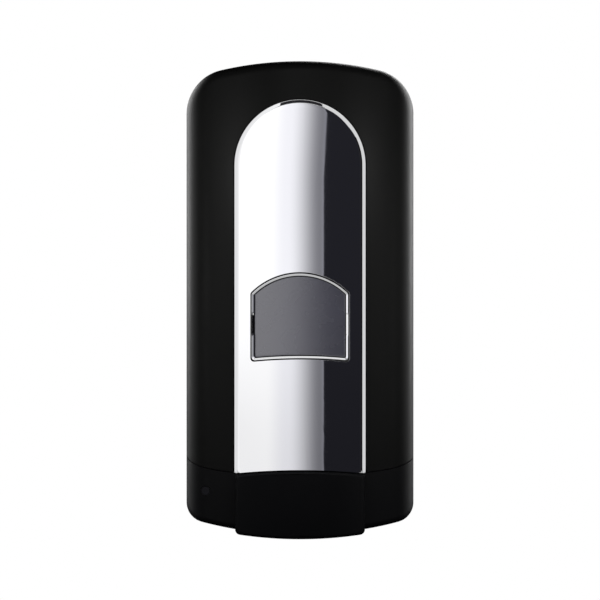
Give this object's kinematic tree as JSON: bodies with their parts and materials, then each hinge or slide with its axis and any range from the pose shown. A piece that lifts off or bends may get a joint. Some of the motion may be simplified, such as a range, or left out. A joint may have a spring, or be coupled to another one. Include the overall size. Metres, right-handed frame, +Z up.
{
  "type": "wall mounted soap dispenser",
  "caption": "Touch-free wall soap dispenser with a drop-down black cover, arched chrome panel, smoked sight window and a geared pump drive behind it.",
  "frame": {"origin": "centre of the four wall-screw holes on the flat back face, at the body's mid height", "axes": "+X to the user's right facing the dispenser, +Y into the wall, +Z up"},
  "size_m": [0.1282, 0.1021, 0.2676],
  "materials": {
    "housing_black": "fine matt texture",
    "cover_black": "satin",
    "chin_black": "satin",
    "panel_chrome": "polished",
    "smoked_lens": "polished",
    "infrared_lens": "polished",
    "indicator_clear": "satin",
    "steel": "bright zinc",
    "latch_grey": "satin",
    "chassis_grey": "matt",
    "bottle_clear": "polished",
    "soap": "clear liquid",
    "white_plastic": "satin",
    "gear_cream": "satin",
    "brass_pinion": "machined",
    "motor_can": "drawn can",
    "tray_grey": "matt",
    "cell_wrap": "shrink sleeve",
    "contact_nickel": "nickel plate",
    "board_green": "solder mask",
    "chip_black": "moulded",
    "led_clear": "polished",
    "lead_red": "matt",
    "lead_black": "matt"
  },
  "bodies": {
    "housing": {"rear_housing": "housing_black", "hinge_pins": "steel", "latch_spring": "steel", "drive_chassis": "chassis_grey", "chassis_screws": "steel", "soap_bottle": "bottle_clear", "liquid_soap": "soap", "neck_collar": "white_plastic", "pump_body": "white_plastic", "pump_spring": "steel", "guide_rods": "steel", "gearbox_plate": "gear_cream", "gearbox_cover": "gear_cream", "gearbox_spacers": "steel", "gear_axles": "steel", "drive_motor": "motor_can", "battery_tray": "tray_grey", "battery_cell_1": "cell_wrap", "battery_cell_2": "cell_wrap", "battery_cell_3": "cell_wrap", "battery_cell_4": "cell_wrap", "battery_contacts": "contact_nickel", "battery_door": "tray_grey", "circuit_board": "board_green", "board_parts": "chip_black", "sensor_board": "board_green", "sensor_emitter": "led_clear", "sensor_receiver": "chip_black", "motor_leads": "lead_red", "battery_leads": "lead_black"},
    "cover": {"front_cover": "cover_black", "chin_shell": "chin_black", "nose_cover": "chin_black", "chrome_panel": "panel_chrome", "sight_window": "smoked_lens", "sensor_lens": "infrared_lens", "indicator_lens": "indicator_clear", "cover_screws": "steel"},
    "latch": {"latch_button": "latch_grey"},
    "pump_carriage": {"pump_carriage": "gear_cream", "nozzle": "white_plastic"},
    "output_gear": {"output_gear": "gear_cream"},
    "idler_gear": {"idler_gear": "gear_cream"},
    "motor_pinion": {"motor_pinion": "brass_pinion"}
  },
  "joints": [
    {"name": "cover_hinge", "type": "hinge", "parent": "housing", "child": "cover", "pos_m": [0, -0.019, -0.116], "axis": [1, 0, 0], "range_deg": [0, 88]},
    {"name": "latch_press", "type": "slide", "parent": "housing", "child": "latch", "axis": [0, 0, -1], "range_m": [0, 0.0025], "stiffness_N_per_m": 400, "springref_m": -0.002, "deforming": ["latch_spring"]},
    {"name": "pump_stroke", "type": "slide", "parent": "housing", "child": "pump_carriage", "axis": [0, 0, 1], "range_m": [0, 0.01], "stiffness_N_per_m": 300, "springref_m": -0.004, "deforming": ["pump_spring"]},
    {"name": "output_spin", "type": "hinge", "parent": "housing", "child": "output_gear", "pos_m": [-0.0268, -0.07, -0.088], "axis": [0, -1, 0], "range_deg": [-0.5, 120.37]},
    {"name": "idler_spin", "type": "hinge", "parent": "housing", "child": "idler_gear", "pos_m": [-0.04129, -0.066, -0.0795], "axis": [0, -1, 0], "range_deg": [-299.42, 0.5]},
    {"name": "motor_spin", "type": "hinge", "parent": "housing", "child": "motor_pinion", "pos_m": [-0.04129, -0.062, -0.0627], "axis": [0, -1, 0], "range_deg": [-0.5, 747.04]}
  ],
  "couplings": [
    {"joint": "output_spin", "follows": "pump_stroke", "rad_per_m": 208.33},
    {"joint": "idler_spin", "follows": "pump_stroke", "rad_per_m": -520.83},
    {"joint": "motor_spin", "follows": "pump_stroke", "rad_per_m": 1302.1}
  ]
}
